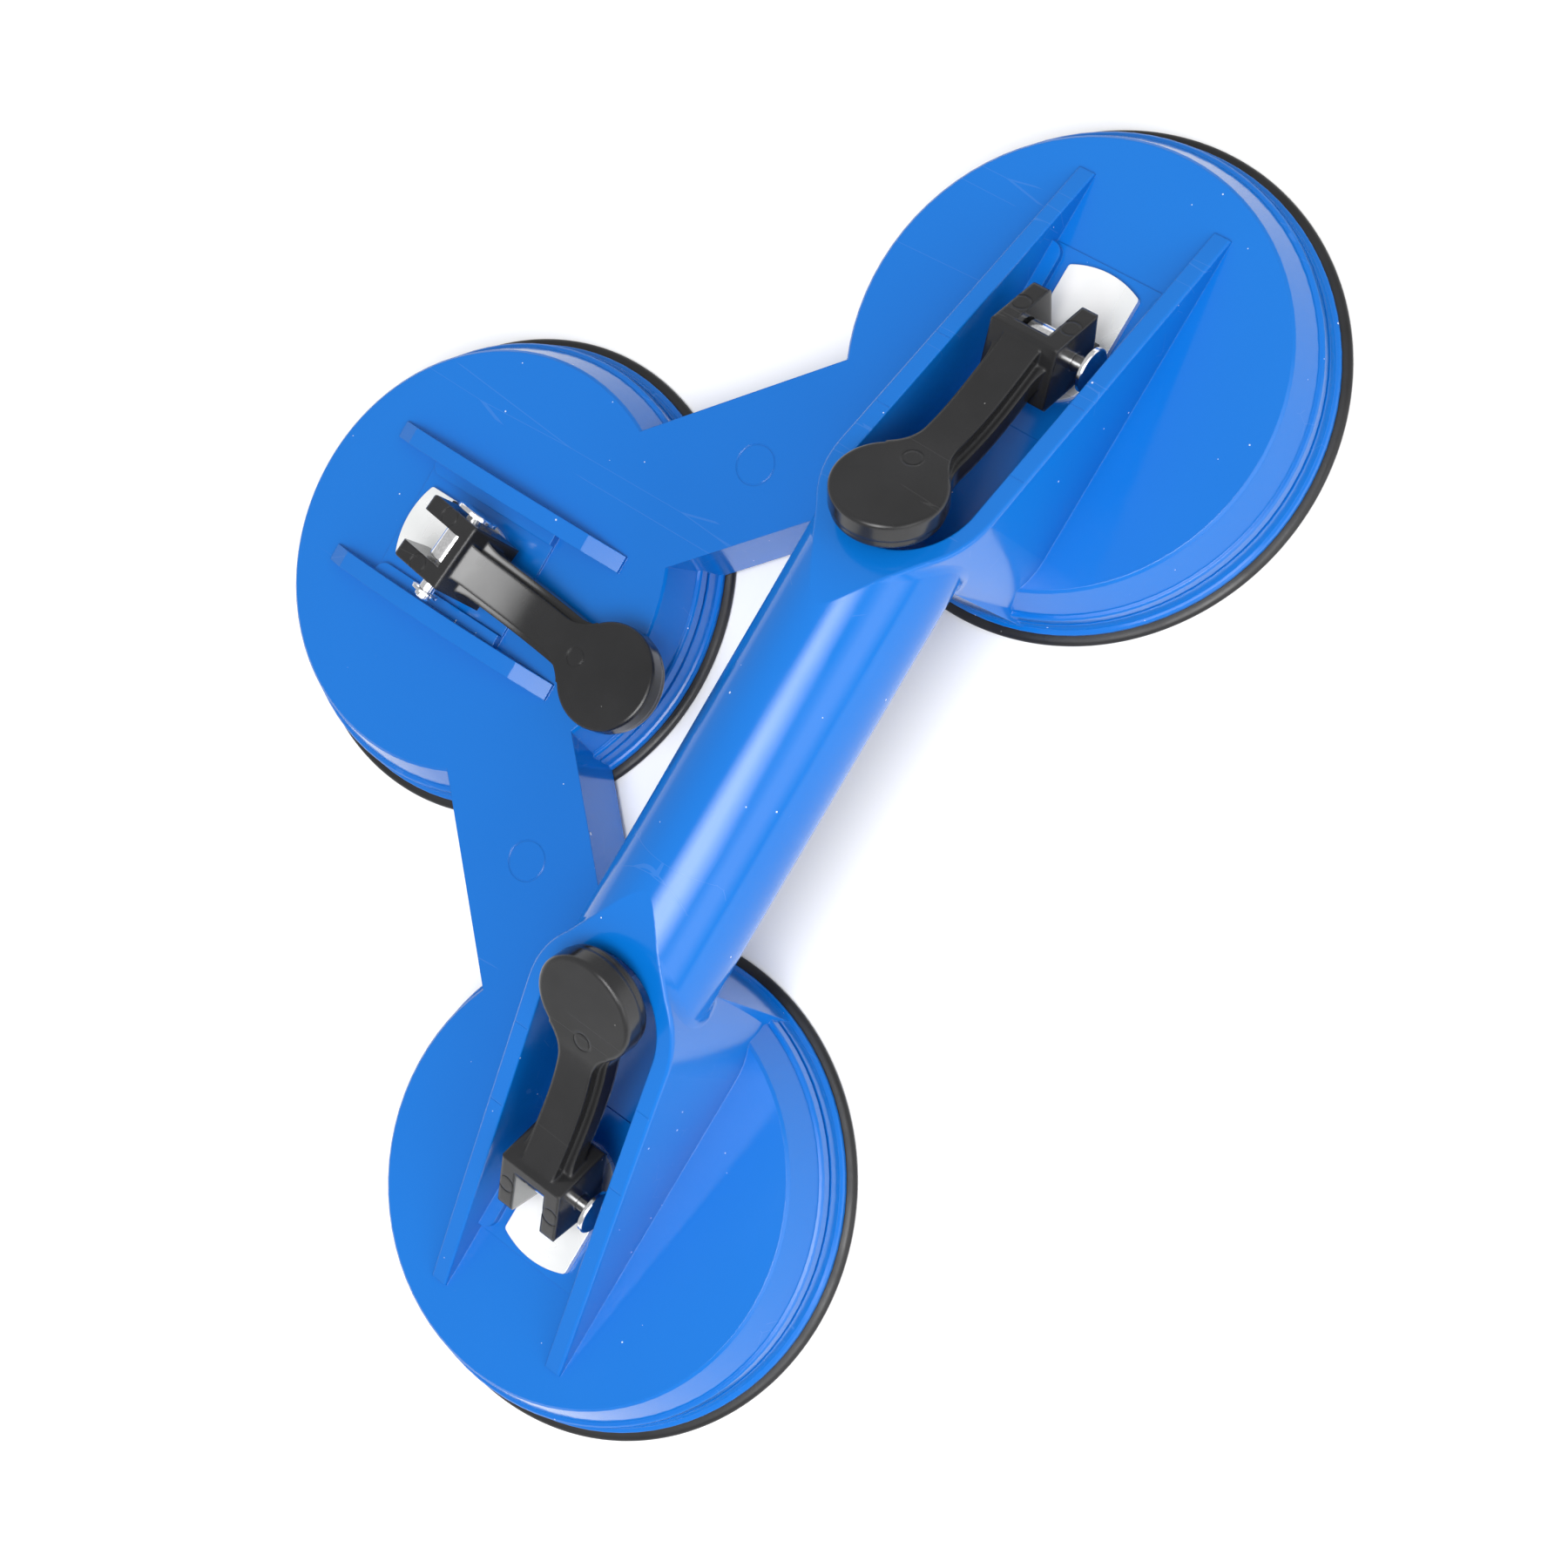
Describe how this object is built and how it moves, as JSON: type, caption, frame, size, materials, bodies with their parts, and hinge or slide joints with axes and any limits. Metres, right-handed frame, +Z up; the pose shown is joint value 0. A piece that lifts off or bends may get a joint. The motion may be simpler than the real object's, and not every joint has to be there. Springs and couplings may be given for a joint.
{
  "type": "suction cup lifter",
  "caption": "Vacuum suction lifter: flat rubber cups under moulded shells joined by arms and a round grip bar, each cup drawn up by a forked cam lever.",
  "frame": {"origin": "on the ground plane under the middle of the outline, halfway between the grip line and the rear cup", "axes": "+X along the grip bar towards the right cup, +Y from the grip towards the rear cup, +Z up away from the sealed surface"},
  "size_m": [0.3314, 0.2254, 0.0722],
  "materials": {
    "blue_plastic": "glossy injection moulding",
    "black_rubber": "satin moulded rubber",
    "black_plastic": "satin moulded nylon",
    "zinc_steel": "zinc-plated sheet and stud",
    "bright_steel": "bright plated pin and clip"
  },
  "bodies": {
    "frame": {"frame_moulding": "blue_plastic", "right_rubber_pad": "black_rubber", "right_cam_plate": "zinc_steel", "left_rubber_pad": "black_rubber", "left_cam_plate": "zinc_steel", "rear_rubber_pad": "black_rubber", "rear_cam_plate": "zinc_steel"},
    "right_stud": {"right_backing_plate": "zinc_steel", "right_draw_stud": "zinc_steel"},
    "right_lever": {"right_cam_lever": "black_plastic", "right_lever_pin": "bright_steel", "right_pin_clip": "bright_steel"},
    "left_stud": {"left_backing_plate": "zinc_steel", "left_draw_stud": "zinc_steel"},
    "left_lever": {"left_cam_lever": "black_plastic", "left_lever_pin": "bright_steel", "left_pin_clip": "bright_steel"},
    "rear_stud": {"rear_backing_plate": "zinc_steel", "rear_draw_stud": "zinc_steel"},
    "rear_lever": {"rear_cam_lever": "black_plastic", "rear_lever_pin": "bright_steel", "rear_pin_clip": "bright_steel"}
  },
  "joints": [
    {"name": "right_stud_draw", "type": "slide", "parent": "frame", "child": "right_stud", "axis": [0, 0, 1], "range_m": [-0.0012, 0]},
    {"name": "right_lever_turn", "type": "hinge", "parent": "right_stud", "child": "right_lever", "pos_m": [0.10607, -0.05303, 0.0339], "axis": [0, 1, 0], "range_deg": [0, 57]},
    {"name": "left_stud_draw", "type": "slide", "parent": "frame", "child": "left_stud", "axis": [0, 0, 1], "range_m": [-0.0012, 0]},
    {"name": "left_lever_turn", "type": "hinge", "parent": "left_stud", "child": "left_lever", "pos_m": [-0.10607, -0.05303, 0.0339], "axis": [0, -1, 0], "range_deg": [0, 57]},
    {"name": "rear_stud_draw", "type": "slide", "parent": "frame", "child": "rear_stud", "axis": [0, 0, 1], "range_m": [0, 0.00345]},
    {"name": "rear_lever_turn", "type": "hinge", "parent": "rear_stud", "child": "rear_lever", "pos_m": [0, 0.05303, 0.03045], "axis": [-0.994, 0.1097, 0], "range_deg": [0, 35.6]}
  ],
  "couplings": [
    {"joint": "right_stud_draw", "follows": "right_lever_turn", "m_per_rad": -0.0012062},
    {"joint": "left_stud_draw", "follows": "left_lever_turn", "m_per_rad": -0.0012062},
    {"joint": "rear_stud_draw", "follows": "rear_lever_turn", "m_per_rad": 0.0055525}
  ]
}
